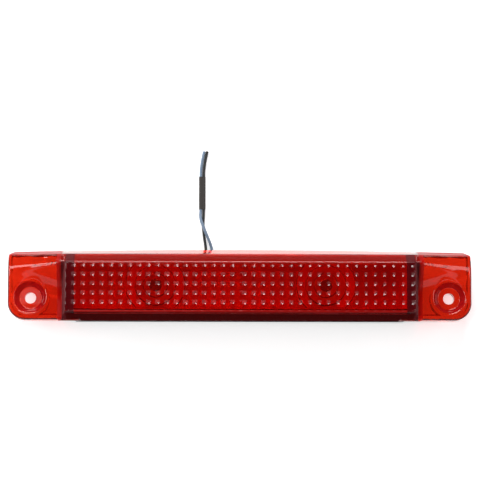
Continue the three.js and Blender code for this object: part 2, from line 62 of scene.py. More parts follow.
# ---- sizes taken from the frame ---------------------------------------------------------

LENS_LOW, LENS_HIGH = box_mm("lens")
HALF_LENGTH = LENS_HIGH[0]
BOTTOM, TOP = LENS_LOW[1], LENS_HIGH[1]
RIM, FACE = LENS_LOW[2], LENS_HIGH[2]

# ---- lens shape, as in the CAD model ----------------------------------------------------

CROWN = 1.7  # fall of the upper edge at the ends
WALL = 2.2
BOTTOM_CORNER = 10.5
TOP_CORNER = 4.0
FACE_HALF = 107.0
BASE_HALF = 111.6
FACE_BOTTOM = -19.3
CREASE = 12.1
SHOULDER = (17.2, 18.0)  # Y, and height above the rim
CHAMBER_HALF = 108.4
END_WALL_HALF = 110.8
EAR_START = 111.0
EAR_FRONT = (-21.2, 9.6)
EAR_FLOOR = ((-3.0, 10.3), (5.0, 10.3))  # far edge of the flat floor: at the block, at the end
EAR_CREASE = ((11.7, 24.3), (8.0, 12.1))
EAR_SHOULDER = ((17.2, 17.6), (18.2, 9.0))
SCREW = (129.3, -8.6)
HOLE_R = 3.45
SEAT_R, SEAT_Z = 6.9, 5.8
MOUTH_SLOPE = 4.5 / 3.1
BOSS_R = 11.8
EAR_EDGE = 1.3  # radius of the ear's outer edges
EDGE_DROP = 1.0  # the least upright band at the rim
EAR_REACH = 12  # how far an ear's slopes are followed into the block
BLOCK_END = BASE_HALF + 0.7  # the block's last column of points, where an ear's rays end
ABOVE_ALL = 50  # a height that is clear of the lens
UNDERCUT = 1.0  # how far the cutters for the hollows start below the rim
WALL_LEAN, UPPER_LEAN = 0.85, 0.35  # how far shading leans back on the steep walls and the upper slope

# ---- how far neighbouring surfaces blend into each other --------------------------------

BLOCK_BLEND = 0.5  # the block's sides and its ends
EAR_BLEND = 0.8  # the ears and the block
FLOOR_BLEND = 7.0  # an ear's floor and the slope behind it
SLOPE_BLEND = 4.0  # an ear's slope, upper face and upper side
SEAT_BLEND = 0.5  # a screw recess's seat and its slope
MOUTH_BLEND = 1.0  # a screw recess and the ear

# ---- optics -----------------------------------------------------------------------------

PILLOW_X, PILLOW_Y = 5.75, 5.8
SEAM_HALF = 0.77  # plain strip each side of the middle
PILLOW_ROWS_MIDDLE = -2.55
PILLOW_DEPTH = 0.29
CELL_STEPS = 8  # the mesh's steps across a pillow
RELIEF_HALF = FACE_HALF - 0.5
RELIEF_LOW, RELIEF_HIGH = FACE_BOTTOM + 0.7, CREASE - 1.2
RELIEF_FADE = 0.5  # the relief comes in over this much
RINGS_AT = (52.0, -2.5)  # the middle of the rings in front of each bulb
CENTRE_R = 3.4  # the round slope inside the rings
RING_RADII = (7.1, 12.1, 17.8)
PAINTED_SHADE_START, PAINTED_SHADE_END = 101.6, 109.6  # the block's ends are painted with shade between these


# ---- small helpers ----------------------------------------------------------------------

def smooth_min(a, b, k):
    h = np.maximum(k - np.abs(a - b), 0) / k
    return np.minimum(a, b) - h * h * k / 4


def smooth_max(a, b, k):
    return -smooth_min(-a, -b, k)


def mesh_object(name, points, faces, smooth=True):
    """A new object from points in millimetres."""
    mesh = bpy.data.meshes.new(name)
    mesh.from_pydata([tuple(p) for p in np.asarray(points, float) * MM], [], faces)
    mesh.update()
    if smooth:
        mesh.polygons.foreach_set("use_smooth", [True] * len(mesh.polygons))
    made = bpy.data.objects.new(name, mesh)
    bpy.context.scene.collection.objects.link(made)
    return made


def cleaned(obj, merge=1e-6):
    """Joins shared points and turns the faces outwards."""
    work = bmesh.new()
    work.from_mesh(obj.data)
    bmesh.ops.remove_doubles(work, verts=work.verts, dist=merge)
    bmesh.ops.dissolve_degenerate(work, edges=work.edges, dist=merge / 10)
    bmesh.ops.recalc_face_normals(work, faces=work.faces)
    work.to_mesh(obj.data)
    work.free()
    return obj


def boolean(obj, cutter, operation="DIFFERENCE"):
    change = obj.modifiers.new("cut", "BOOLEAN")
    change.operation = operation
    change.solver = "MANIFOLD"
    change.object = cutter
    applied(obj)
    bpy.data.objects.remove(cutter)
    return obj


def applied(obj):
    """Replaces an object's mesh by what its modifiers make of it."""
    graph = bpy.context.evaluated_depsgraph_get()
    mesh = bpy.data.meshes.new_from_object(obj.evaluated_get(graph))
    obj.modifiers.clear()
    obj.data = mesh
    return obj


def smooth_by_angle(obj, degrees, hard=lambda a, b: False):
    """Shades smooth, with a hard edge where two faces meet at more than the angle or hard() says so."""
    work = bmesh.new()
    work.from_mesh(obj.data)
    limit = math.radians(degrees)
    for edge in work.edges:
        joined = len(edge.link_faces) == 2 and edge.calc_face_angle(0) < limit
        edge.smooth = joined and not hard(*(v.co / MM for v in edge.verts))
    for face in work.faces:
        face.smooth = True
    work.to_mesh(obj.data)
    work.free()
    return obj


def turned(name, profile, sides=64, at=(0, 0, 0)):
    """A round solid on the Z axis from [radius, height] points that start and end on the axis, or close."""
    points, faces, rings = [], [], []
    for r, z in profile:
        if r < 1e-6:
            rings.append([len(points)])
            points.append((0, 0, z))
        else:
            rings.append(list(range(len(points), len(points) + sides)))
            for i in range(sides):
                angle = 2 * math.pi * i / sides
                points.append((r * math.cos(angle), r * math.sin(angle), z))
    for low, high in zip(rings, rings[1:]):
        for i in range(sides):
            j = (i + 1) % sides
            quad = [low[i % len(low)], low[j % len(low)], high[j % len(high)], high[i % len(high)]]
            face = [p for k, p in enumerate(quad) if p != quad[k - 1]]
            if len(face) > 2:
                faces.append(face)
    return cleaned(mesh_object(name, np.array(points) + np.array(at), faces))


def rounded_line(corners, radii, steps=6):
    """The points of a polyline whose corners are rounded."""
    corners = [np.array(c, float) for c in corners]
    out = [corners[0]]
    for before, corner, after, r in zip(corners, corners[1:], corners[2:], radii):
        a = (before - corner) / np.linalg.norm(before - corner)
        b = (after - corner) / np.linalg.norm(after - corner)
        half = math.acos(np.clip(a @ b, -1, 1)) / 2
        reach = r / math.tan(half)
        middle = corner + (a + b) / np.linalg.norm(a + b) * r / math.sin(half)
        start = corner + a * reach - middle
        end = corner + b * reach - middle
        sweep = math.pi - 2 * half
        for i in range(steps + 1):
            t = i / steps
            arm = math.sin((1 - t) * sweep) * start + math.sin(t * sweep) * end
            out.append(middle + arm / math.sin(sweep))
    out.append(corners[-1])
    return np.array(out)


def filled(points, step):
    """The polyline's points, with more between those that are further apart than step."""
    out = [points[0]]
    for a, b in zip(points, points[1:]):
        count = max(1, math.ceil(np.linalg.norm(b - a) / step))
        out += [a + (b - a) * (i + 1) / count for i in range(count)]
    return np.array(out)


# ---- lens surfaces ----------------------------------------------------------------------

def top_edge(x):
    """The Y of the lamp's upper edge, which falls towards the ends."""
    return TOP - CROWN * (x / HALF_LENGTH) ** 2


BLOCK_LINE = rounded_line(
    [(BOTTOM, EDGE_DROP), (FACE_BOTTOM, FACE - RIM), (CREASE, FACE - RIM), SHOULDER, (TOP, EDGE_DROP)],
    [1.3, 2.5, 3.0],
)
END_TOP = FACE - RIM + BLOCK_BLEND  # clear of the face, so that the blend doesn't lower it
END_LINE = rounded_line([(0, END_TOP), (FACE_HALF, END_TOP), (BASE_HALF, EDGE_DROP)], [1.1])


def block_height(x, y):
    """The block's outer surface above the rim: its section in Y under its section in X."""
    above = y > SHOULDER[0]
    span = (top_edge(x) - SHOULDER[0]) / (TOP - SHOULDER[0])
    flat_y = np.where(above, SHOULDER[0] + (y - SHOULDER[0]) / span, y)
    along = np.interp(flat_y, BLOCK_LINE[:, 0], BLOCK_LINE[:, 1])
    across = np.interp(np.abs(x), END_LINE[:, 0], END_LINE[:, 1])
    return smooth_min(along, across, BLOCK_BLEND)


def outline_distance(x, y):
    """How far a point of an ear is inside the lamp's outline."""
    ax = np.abs(x)
    high = top_edge(x)
    plain = np.minimum(np.minimum(HALF_LENGTH - ax, y - BOTTOM), high - y)
    low_x, low_y = ax - (HALF_LENGTH - BOTTOM_CORNER), BOTTOM + BOTTOM_CORNER - y
    high_x, high_y = ax - (HALF_LENGTH - TOP_CORNER), y - (high - TOP_CORNER)
    in_low_corner = BOTTOM_CORNER - np.hypot(low_x, low_y)
    in_high_corner = TOP_CORNER - np.hypot(high_x, high_y)
    plain = np.where((low_x > 0) & (low_y > 0), in_low_corner, plain)
    return np.where((high_x > 0) & (high_y > 0), in_high_corner, plain)


def recess_height(x, y):
    """The round recess for a screw's head: a flat seat and a slope up to the ear."""
    r = np.hypot(np.abs(x) - SCREW[0], y - SCREW[1])
    return smooth_max(np.full_like(r, SEAT_Z), SEAT_Z + (r - SEAT_R) * MOUTH_SLOPE, SEAT_BLEND)


def ear_corners(x):
    """The corners of an ear's section at x, from its lower edge to its upper edge."""
    t = np.clip((np.abs(x) - EAR_START) / (HALF_LENGTH - EAR_START), 0, 1)
    floor, crease, shoulder = [
        (low[0] + (high[0] - low[0]) * t, low[1] + (high[1] - low[1]) * t)
        for low, high in (EAR_FLOOR, EAR_CREASE, EAR_SHOULDER)
    ]
    return (BOTTOM, 0.0), EAR_FRONT, floor, crease, shoulder, (top_edge(x), 0.0)


def line_through(y, a, b):
    """The height at y of the line through the points a and b."""
    return a[1] + (y - a[0]) * (b[1] - a[1]) / (b[0] - a[0])


def ear_height(x, y):
    """An ear's outer surface above the rim, with its screw recess."""
    _, front, floor, crease, shoulder, top = ear_corners(x)
    flat = line_through(y, front, floor)
    height = smooth_max(flat, line_through(y, floor, crease), FLOOR_BLEND)
    height = smooth_min(height, line_through(y, crease, shoulder), SLOPE_BLEND)
    height = smooth_min(height, line_through(y, shoulder, top), SLOPE_BLEND)
    near = np.clip(outline_distance(x, y), 0, EAR_EDGE)
    height = height - (EAR_EDGE - np.sqrt(EAR_EDGE ** 2 - (EAR_EDGE - near) ** 2))
    return smooth_min(height, recess_height(x, y), MOUTH_BLEND)


def pillow_depth(x, y):
    """How far the relief lies under the face: domes that meet in valleys, either side of the seam."""
    u = ((np.abs(x) - SEAM_HALF) / PILLOW_X) % 1 * 2 - 1
    v = ((y - PILLOW_ROWS_MIDDLE) / PILLOW_Y + 0.5) % 1 * 2 - 1
    u = np.where(np.abs(x) < SEAM_HALF, -1.0, u)
    return PILLOW_DEPTH * (u ** 2 + v ** 2)


def in_valley(a, b):
    """Whether an edge of the face lies along a valley between two rows or columns of pillows."""
    if min(a.z, b.z) < FACE - 3 * PILLOW_DEPTH:
        return False
    near = 0.01  # of a pillow's width
    across = [(abs(p.x) - SEAM_HALF) / PILLOW_X for p in (a, b)]
    along = [(p.y - PILLOW_ROWS_MIDDLE) / PILLOW_Y + 0.5 for p in (a, b)]
    return any(
        abs(first - second) < near and abs(first - round(first)) < near
        for first, second in (across, along)
    )


def outer_height(x, y):
    """The lens's outer surface above the rim."""
    height = block_height(x, y)
    ear = np.where(np.abs(x) > EAR_START - EAR_REACH, ear_height(x, y), EDGE_DROP)
    height = smooth_max(height, ear, EAR_BLEND)
    return np.maximum(height, EDGE_DROP)


def with_relief(x, y, z):
    """The surface z with the pillows pressed into the face, and left out at the face's edges."""
    inside = np.min([RELIEF_HALF - np.abs(x), RELIEF_HIGH - y, y - RELIEF_LOW], axis=0)
    return z - pillow_depth(x, y) * np.clip(inside / RELIEF_FADE, 0, 1)


def grid_stations_x():
    """X of the block's columns: cell steps over the pillows, dense over the end walls."""
    pillows = math.ceil(FACE_HALF / PILLOW_X)
    rounding, gap = FACE_HALF - 1.3, 0.15  # where the rounded end begins, and the space before it
    cells = np.arange(0, pillows * CELL_STEPS + 1) * PILLOW_X / CELL_STEPS + SEAM_HALF
    cells = cells[cells < rounding - 2 * gap]
    ends = filled(END_LINE[END_LINE[:, 0] > rounding], 1.4)[:, 0]
    half = np.concatenate([[0], cells, [rounding - gap], ends, [BLOCK_END]])
    half = np.unique(np.round(half, 4))
    return np.concatenate([-half[:0:-1], half])


def grid_stations_y():
    """Y of the block's rows at mid-length."""
    rows = 7  # of pillows, more than the face holds
    low, high, gap = FACE_BOTTOM + 1.2, CREASE - 1.3, 0.1  # the roundings' inner ends, and the space there
    lines = filled(BLOCK_LINE, 1.5)[:, 0]
    walls = lines[(lines < low) | (lines > high)]
    first = PILLOW_ROWS_MIDDLE - PILLOW_Y * rows / 2
    cells = first + np.arange(0, rows * CELL_STEPS + 1) * PILLOW_Y / CELL_STEPS
    cells = cells[(cells > low + gap) & (cells < high - gap)]
    return np.unique(np.round(np.concatenate([walls, cells]), 4))


def row_at(x, y_mid):
    """The rows above the shoulder close up where the upper edge falls away."""
    span = (top_edge(x) - SHOULDER[0]) / (TOP - SHOULDER[0])
    return np.where(y_mid > SHOULDER[0], SHOULDER[0] + (y_mid - SHOULDER[0]) * span, y_mid)


def outline_points(x_from):
    """The outline of the right ear from the lower edge at x_from round to the upper edge at x_from."""
    points = [(x_from, BOTTOM)]
    r = BOTTOM_CORNER
    low_x = HALF_LENGTH - r
    points += [(x, BOTTOM) for x in np.linspace(x_from, low_x, 22)[1:-1]]
    for angle in np.linspace(-90, 0, 19):
        a = math.radians(angle)
        points.append((low_x + r * math.cos(a), BOTTOM + r + r * math.sin(a)))
    r = TOP_CORNER
    high_x = HALF_LENGTH - r
    high = top_edge(high_x) - r
    points += [(HALF_LENGTH, y) for y in np.linspace(BOTTOM + BOTTOM_CORNER, high, 22)[1:-1]]
    for angle in np.linspace(0, 90, 10):
        a = math.radians(angle)
        points.append((high_x + r * math.cos(a), high + r * math.sin(a)))
    points += [(x, top_edge(x)) for x in np.linspace(high_x, x_from, 26)[1:-1]]
    points.append((x_from, top_edge(x_from)))
    return points


RECESS_STEPS = [  # radii of the rings across a screw recess, close together where it bends
    1.2, 2.4, 3.3, 4, 5, 5.8, 6.1, 6.35, 6.6, 6.9, 7.3, 7.8, 8.3, 8.8, 9.2, 9.5, 9.8, 10.1, 10.5, 11, 11.6,
]
EAR_STEPS = [*np.arange(0.05, 0.91, 0.05), 0.935, 0.965, 0.985, 1.0]  # shares of the way to the edge


def ear_patch(points, faces, side, seam_rows):
    """Adds one ear: rays from the screw hole's axis to the ear's outline and the block's last column."""
    rim = np.array(outline_points(BLOCK_END) + [(BLOCK_END, y) for y in seam_rows[::-1]][1:-1])
    centre = np.array(SCREW)
    away = rim - centre
    reach = np.linalg.norm(away, axis=1, keepdims=True)
    rings = [centre + away / reach * r for r in RECESS_STEPS]
    start = rings[-1]
    rings += [start + (rim - start) * share for share in EAR_STEPS]
    first = len(points)
    count = len(rim)
    flat = np.concatenate([[centre], *rings])
    x = flat[:, 0] * side
    y = flat[:, 1]
    points.extend(np.column_stack([x, y, RIM + outer_height(x, y)]))
    for ring in range(len(rings)):
        for i in range(count):
            j = (i + 1) % count
            outer = first + 1 + ring * count
            if ring == 0:
                faces.append((first, outer + i, outer + j))
            else:
                inner = outer - count
                faces.append((inner + i, outer + i, outer + j, inner + j))


def line_under(y, a, b):
    """The height at y of a section's side from a to b, moved in by the wall."""
    slope = (b[1] - a[1]) / (b[0] - a[0])
    return a[1] + slope * (y - a[0]) - WALL * np.sqrt(1 + slope ** 2)


def chamber_height(x, y):
    """The inner side of the block's walls, above the rim."""
    corners = [(BOTTOM, 0.0), (FACE_BOTTOM, FACE - RIM), (CREASE, FACE - RIM), SHOULDER, (top_edge(x), 0.0)]
    height = np.min([line_under(y, a, b) for a, b in zip(corners, corners[1:])], axis=0)
    slope = (FACE - RIM) / (BASE_HALF - FACE_HALF)
    return np.minimum(height, (BASE_HALF - WALL - np.abs(x)) * slope)


def ear_hollow_height(x, y):
    """The inner side of an ear's walls, above the rim."""
    bottom, front, floor, crease, shoulder, top = ear_corners(x)
    ground = np.maximum(line_under(y, front, floor), line_under(y, floor, crease))
    walls = [line_under(y, a, b) for a, b in ((bottom, front), (crease, shoulder), (shoulder, top))]
    return np.min([ground, *walls], axis=0)


def closed_below(name, points, faces, base):
    """A solid: the surface given, its open edge dropped to the base height, and a flat underside."""
    made = cleaned(mesh_object(name, points, faces))
    work = bmesh.new()
    work.from_mesh(made.data)
    open_edges = [e for e in work.edges if e.is_boundary]
    for item in bmesh.ops.extrude_edge_only(work, edges=open_edges)["geom"]:
        if isinstance(item, bmesh.types.BMVert):
            item.co.z = base * MM
    bmesh.ops.contextual_create(work, geom=[e for e in work.edges if e.is_boundary])
    bmesh.ops.recalc_face_normals(work, faces=work.faces)
    work.to_mesh(made.data)
    work.free()
    return made


def grid_faces(columns, rows):
    """The quads of a grid whose points run up each column in turn."""
    return [
        (c * rows + r, (c + 1) * rows + r, (c + 1) * rows + r + 1, c * rows + r + 1)
        for c in range(columns - 1)
        for r in range(rows - 1)
    ]


def chamber_solid():
    """The cutter for the hollow of the block."""
    taper = np.arange(CHAMBER_HALF - 3.8, CHAMBER_HALF, 0.4)  # where the end walls lean in
    half = np.concatenate([np.arange(0, taper[0] - 2, 4.0), taper, [CHAMBER_HALF]])
    xs = np.concatenate([-half[:0:-1], half])
    low, high = BOTTOM + WALL, -WALL  # the section's foot, and how far its top stays from the edge
    shares = np.linspace(0, 1, 90)
    x = np.repeat(xs, len(shares))
    y = np.concatenate([low + (top_edge(at) + high - low) * shares for at in xs])
    z = RIM + np.maximum(chamber_height(x, y), -UNDERCUT / 2)
    faces = grid_faces(len(xs), len(shares))
    return closed_below("chamber", np.column_stack([x, y, z]), faces, RIM - UNDERCUT)


def fan(centre, rim, rings, height, side):
    """Points and faces of a patch of rings from a centre out to a rim, at the height the function gives."""
    flat = [centre, *[centre + (rim - centre) * share for share in rings]]
    flat = np.concatenate([np.atleast_2d(f) for f in flat])
    x, y = flat[:, 0] * side, flat[:, 1]
    points = np.column_stack([x, y, RIM + height(x, y)])
    count = len(rim)
    faces = [(0, 1 + i, 1 + (i + 1) % count) for i in range(count)]
    for ring in range(len(rings) - 1):
        a = 1 + ring * count
        for i in range(count):
            j = (i + 1) % count
            faces.append((a + i, a + count + i, a + count + j, a + j))
    return points, faces


def hollow_top(x, y):
    return np.maximum(ear_hollow_height(x, y), -UNDERCUT / 2)


def ear_hollow(side):
    """The cutter for the hollow behind an ear, less the boss round its screw hole."""
    outline = np.array(outline_points(BASE_HALF))
    middle = outline.mean(axis=0)
    inner = []
    for (x, y), before, after in zip(outline, np.roll(outline, 1, 0), np.roll(outline, -1, 0)):
        along = after - before
        normal = np.array([-along[1], along[0]]) / np.linalg.norm(along)
        inner.append(np.array([x, y]) + normal * WALL)
    inner = np.array(inner[1:-1])
    start, end = (END_WALL_HALF, BOTTOM + WALL), (END_WALL_HALF, top_edge(END_WALL_HALF) - WALL)
    seam = [(END_WALL_HALF, y) for y in np.linspace(end[1], start[1], 24)]
    rim = np.concatenate([inner, seam])
    points, faces = fan(middle, rim, np.linspace(0, 1, 28)[1:], hollow_top, side)
    hollow = closed_below("hollow", points, faces, RIM - UNDERCUT)
    profile = [(0, 0), (BOSS_R, 0), (BOSS_R, ABOVE_ALL), (0, ABOVE_ALL)]
    return boolean(hollow, turned("boss", profile, 96, (side * SCREW[0], SCREW[1], 0)))


def screw_hole(side):
    """The cutter for a screw's hole, with a broken edge where it meets the seat."""
    seat, below, edge = RIM + SEAT_Z, 4, 0.4
    profile = [
        (0, below), (HOLE_R, below), (HOLE_R, seat - 0.35), (HOLE_R + edge, seat + 0.05),
        (HOLE_R + edge, ABOVE_ALL), (0, ABOVE_ALL),
    ]
    return turned("hole", profile, 72, (side * SCREW[0], SCREW[1], 0))


def ring_optics(side):
    """The cutter for the stepped rings in front of a bulb: each ring is a slope that ends in a step."""
    inside = FACE - WALL
    step, lip, foot = 0.75, 0.45, 0.1
    profile = [(0, inside - 1), (0, inside + 0.15)]
    for r in (CENTRE_R, *RING_RADII):
        profile += [(r, inside + step), (r + lip, inside + foot)]
    profile += [(RING_RADII[-1] + lip, inside - 1), (0, inside - 1)]
    at_x, reach = side * RINGS_AT[0], 30
    low, high = FACE_BOTTOM + 3.2, CREASE - 2.4
    rings = turned("rings", profile, 120, (at_x, RINGS_AT[1], 0))
    keep = slab_box("keep", (at_x - reach, low, 0), (at_x + reach, high, ABOVE_ALL))
    return boolean(rings, keep, "INTERSECT")


def slab_box(name, low, high):
    corners = [(x, y, z) for x in (low[0], high[0]) for y in (low[1], high[1]) for z in (low[2], high[2])]
    faces = [(0, 1, 3, 2), (4, 6, 7, 5), (0, 4, 5, 1), (2, 3, 7, 6), (0, 2, 6, 4), (1, 5, 7, 3)]
    return cleaned(mesh_object(name, corners, faces, smooth=False))


def lens_surface():
    """Points and faces of the lens's whole outer surface: the block's grid and a fan for each ear."""
    xs, ys = grid_stations_x(), grid_stations_y()
    x = np.repeat(xs, len(ys))
    y = np.concatenate([row_at(at, ys) for at in xs])
    points = list(np.column_stack([x, y, RIM + with_relief(x, y, outer_height(x, y))]))
    faces = grid_faces(len(xs), len(ys))
    for side in (-1, 1):
        ear_patch(points, faces, side, row_at(xs[-1], ys))
    return points, faces


def soften_walls(obj):
    """Shades the block's steep walls, inside and out, as if they leaned back further."""
    mesh = obj.data
    corners = np.array([n.vector for n in mesh.corner_normals])
    index = np.empty(len(mesh.loops), np.int32)
    mesh.loops.foreach_get("vertex_index", index)
    places = np.empty(len(mesh.vertices) * 3, np.float32)
    mesh.vertices.foreach_get("co", places)
    x, y, z = (places.reshape(-1, 3)[index] / MM).T
    ax = np.abs(x)
    steep, sloped = 0.8, 0.6  # the least sideways part of a steep wall's normal, and of the upper slope's
    lower = (np.abs(corners[:, 1]) > steep) & (y < FACE_BOTTOM + WALL + 1.5) & (ax < BASE_HALF)
    ends = (np.abs(corners[:, 0]) > steep) & (ax > FACE_HALF - WALL - 1) & (ax < BASE_HALF)
    ends &= np.abs(ax - END_WALL_HALF) > 0.02  # the ear hollows' upright sides stay as they are
    upper = (y > CREASE - WALL) & (y < SHOULDER[0] + 0.7) & (z > RIM + 14)
    upper &= np.abs(corners[:, 1]) > sloped
    outward = np.where(lower, -corners[:, 1], np.where(upper, corners[:, 1], corners[:, 0] * np.sign(x)))
    lean = np.where(upper, UPPER_LEAN, WALL_LEAN) * np.sign(outward)
    corners[:, 2] += np.where((lower | ends | upper) & (z > RIM + 0.3), lean, 0)
    corners /= np.linalg.norm(corners, axis=1, keepdims=True)
    mesh.normals_split_custom_set([tuple(n) for n in corners])
    return obj


def build_lens():
    lens = closed_below("lens_optics", *lens_surface(), RIM)
    lens = boolean(lens, chamber_solid())
    for side in (-1, 1):
        lens = boolean(lens, ear_hollow(side))
        lens = boolean(lens, screw_hole(side))
        lens = boolean(lens, ring_optics(side))
    lens = soften_walls(smooth_by_angle(lens, 40, in_valley))
    lens.data.materials.clear()
    for material in (MATERIALS["red_acrylic"], *LENS_FINISHES_AND_PAINTED_SHADE):
        lens.data.materials.append(material)
    # each face gets the clear acrylic, a frosted finish, or painted light and shade
    for face in lens.data.polygons:
        face.material_index = finish_or_painted_shade(*(face.center / MM), face.normal)
    return lens


def finish_or_painted_shade(x, y, z, normal):
    """The index of a face's material in the lens's list: the clear one, then the frosted finishes and the
    painted light and shade that follow it.
    """
    # all but clear, inner and by_bulb are painted: the upper slope's is painted light and shade, the others
    # painted shade
    clear, inner, by_bulb, centre, upper, painted_shade, painted_shade_face, lower, recess, painted_dull_shade = range(10)
    foot_band, root_band, rim_band, mouth_r = 1.4, 0.9, 0.8, 9.8
    ax = abs(x)
    on_ear = ax > BASE_HALF
    from_bulb = math.hypot(ax - RINGS_AT[0], y - RINGS_AT[1])
    from_screw = math.hypot(ax - SCREW[0], y - SCREW[1])
    if z > FACE - WALL - 0.1 and normal.z < 0.3 and ax < CHAMBER_HALF - 5:  # behind the face
        if from_bulb > RING_RADII[-1] + 1:
            return inner
        if abs(normal.z) < 0.75:  # a ring's step, painted with shade
            return painted_shade
        # the rings' middle is painted with shade
        return centre if from_bulb < CENTRE_R else by_bulb
    if normal.z < 0.1:  # upright, or turned to the back
        end_of_ear = z > RIM + 0.1 and ax > HALF_LENGTH - 0.1
        # an ear's outer end is painted with shade
        return painted_shade if end_of_ear else clear
    if y < FACE_BOTTOM - 0.5 and ax < PAINTED_SHADE_END:  # the lower side, painted with shade
        return painted_shade if ax > FACE_HALF else lower
    if y < FACE_BOTTOM + foot_band and ax < PAINTED_SHADE_START:  # the face's rounded lower edge, painted with shade
        return painted_dull_shade
    # the block's ends, painted with shade
    if PAINTED_SHADE_START < ax < (FACE_HALF if y > CREASE else PAINTED_SHADE_END) and y < SHOULDER[0] + 0.5:
        return painted_shade_face if ax < FACE_HALF - 0.5 and y < CREASE - 0.5 else painted_shade
    if PAINTED_SHADE_END <= ax < BASE_HALF + root_band or on_ear and y > SHOULDER[0] + 0.2:
        return painted_dull_shade  # painted shade where an ear meets the block, and along its upper edge
    if CREASE - 1.3 < y < SHOULDER[0] + 0.8 and not on_ear:  # the upper slope, painted light and shade
        return upper
    # the slope of a screw recess, painted with shade
    if on_ear and SEAT_R - 0.2 < from_screw < mouth_r and normal.z < 0.8:
        return recess
    # a band along an ear's edge, painted with shade
    if on_ear and outline_distance(x, y) < rim_band and y < SHOULDER[0] - 2:
        return painted_shade
    return clear


# ---- camera -----------------------------------------------------------------------------

CAMERA_AIM = (-0.1, 27.6, 17.5)
CAMERA_DISTANCE = 1200.0
CAMERA_TILT = 8.0  # degrees from straight above towards the lamp's lower side
CAMERA_SIDE = -1.3  # degrees towards +X
SENSOR_WIDTH, FOCAL_LENGTH = 36, 145.2


def add_camera():
    data = bpy.data.cameras.new("camera")
    data.sensor_width = SENSOR_WIDTH
    data.lens = FOCAL_LENGTH
    camera = bpy.data.objects.new("camera", data)
    bpy.context.scene.collection.objects.link(camera)
    back = Vector((
        math.tan(math.radians(CAMERA_SIDE)), -math.tan(math.radians(CAMERA_TILT)), 1,
    )).normalized()
    up = Vector((0, 1, 0))
    right = up.cross(back).normalized()
    turn = Matrix((right, back.cross(right), back)).transposed().to_4x4()
    camera.matrix_world = Matrix.Translation((Vector(CAMERA_AIM) + back * CAMERA_DISTANCE) * MM) @ turn
    bpy.context.scene.camera = camera


add_camera()


# ---- leads ------------------------------------------------------------------------------

LEAD_D = 1.8
BLACK_ROUTE = [
    (-20.9, 18.7, 1), (-21, 22, 0.95), (-21.4, 26, 0.95), (-22.1, 31, 0.95), (-22.7, 36, 0.95),
    (-22.9, 40, 0.95), (-22.7, 44.5, 1), (-22.58, 49, 1.12), (-22.58, 56, 1.12), (-22.58, 63, 1.12),
    (-22.58, 70, 1.12), (-22.4, 74.5, 1), (-21.6, 80.5, 0.95), (-20.4, 86.5, 0.95),
]
GREY_ROUTE = [
    (-16.9, 18.7, 1), (-17.1, 22, 1.1), (-18.3, 27, 1.7), (-20.1, 31.5, 2.5), (-21.8, 35.5, 2.95),
    (-23.3, 39.5, 2.85), (-24.2, 42, 2.35), (-24.6, 45, 1.5), (-24.45, 49, 1.12), (-24.42, 56, 1.12),
    (-24.42, 63, 1.12), (-24.42, 70, 1.12), (-24.3, 74.5, 1), (-23.5, 80.5, 0.95), (-22.3, 86.5, 0.95),
]
SLEEVE_LOW, SLEEVE_HIGH = box_mm("heat_shrink_sleeve")


def smooth_path(points, steps=8):
    """Centripetal curve through the points, as the CAD model's tubes have."""
    points = [np.array(p, float) for p in points]
    points = [2 * points[0] - points[1], *points, 2 * points[-1] - points[-2]]
    out = []
    for a, b, c, d in zip(points, points[1:], points[2:], points[3:]):
        k = [0]
        for p, q in ((a, b), (b, c), (c, d)):
            k.append(k[-1] + math.sqrt(np.linalg.norm(q - p)))
        for t in np.linspace(k[1], k[2], steps, endpoint=False):
            p1 = (a * (k[1] - t) + b * (t - k[0])) / (k[1] - k[0])
            p2 = (b * (k[2] - t) + c * (t - k[1])) / (k[2] - k[1])
            p3 = (c * (k[3] - t) + d * (t - k[2])) / (k[3] - k[2])
            q1 = (p1 * (k[2] - t) + p2 * (t - k[0])) / (k[2] - k[0])
            q2 = (p2 * (k[3] - t) + p3 * (t - k[1])) / (k[3] - k[1])
            out.append((q1 * (k[2] - t) + q2 * (t - k[1])) / (k[2] - k[1]))
    out.append(points[-2])
    return np.array(out)


def lead_curve(name, route):
    """A lead's sheath along its route, a little short of the end so that the copper keeps in the CAD box."""
    path = smooth_path(route)
    path[-1] += (path[-2] - path[-1]) * 0.2
    data = bpy.data.curves.new(name, "CURVE")
    data.dimensions = "3D"
    data.bevel_depth = LEAD_D / 2 * MM
    data.bevel_resolution = 6
    data.use_fill_caps = True
    line = data.splines.new("POLY")
    line.points.add(len(path) - 1)
    for point, at in zip(line.points, path):
        point.co = (*(at * MM), 1)
    lead = bpy.data.objects.new(name, data)
    bpy.context.scene.collection.objects.link(lead)
    return lead, path


def strand_end(name, path):
    """The cut end of a lead's copper: seven strands that stand 0.1 mm out of the sheath."""
    end, before = path[-1], path[-3]
    along = (end - before) / np.linalg.norm(end - before)
    across = np.cross(along, (0, 0, 1))
    across /= np.linalg.norm(across)
    up = np.cross(across, along)
    spacing, strand_r, sides = 0.36, 0.175, 12
    levels = ((-0.6, strand_r), (0.06, strand_r), (0.1, 0.12))  # along the lead from the cut, and radius
    places = [(0, 0)]
    for k in range(6):
        places.append((spacing * math.cos(k * math.pi / 3), spacing * math.sin(k * math.pi / 3)))
    points, faces = [], []
    for u, v in places:
        first = len(points)
        for depth, r in levels:
            for k in range(sides):
                angle = 2 * math.pi * k / sides
                place = across * (u + r * math.cos(angle)) + up * (v + r * math.sin(angle))
                points.append(end + along * depth + place)
        last = len(points) - sides
        for low in range(first, last, sides):
            for k in range(sides):
                j = (k + 1) % sides
                faces.append((low + k, low + j, low + sides + j, low + sides + k))
        faces.append(tuple(first + k for k in range(sides - 1, -1, -1)))
        faces.append(tuple(last + k for k in range(sides)))
    return cleaned(mesh_object(name, points, faces, smooth=False))


def add_leads():
    leads = {}
    for node, route in (("black_lead", BLACK_ROUTE), ("grey_lead", GREY_ROUTE)):
        lead, path = lead_curve(node + "_cord", route)
        strands = strand_end(node + "_strands", path)
        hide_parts(node)
        leads[node] = (lead, strands)
    return leads


leads = add_leads()


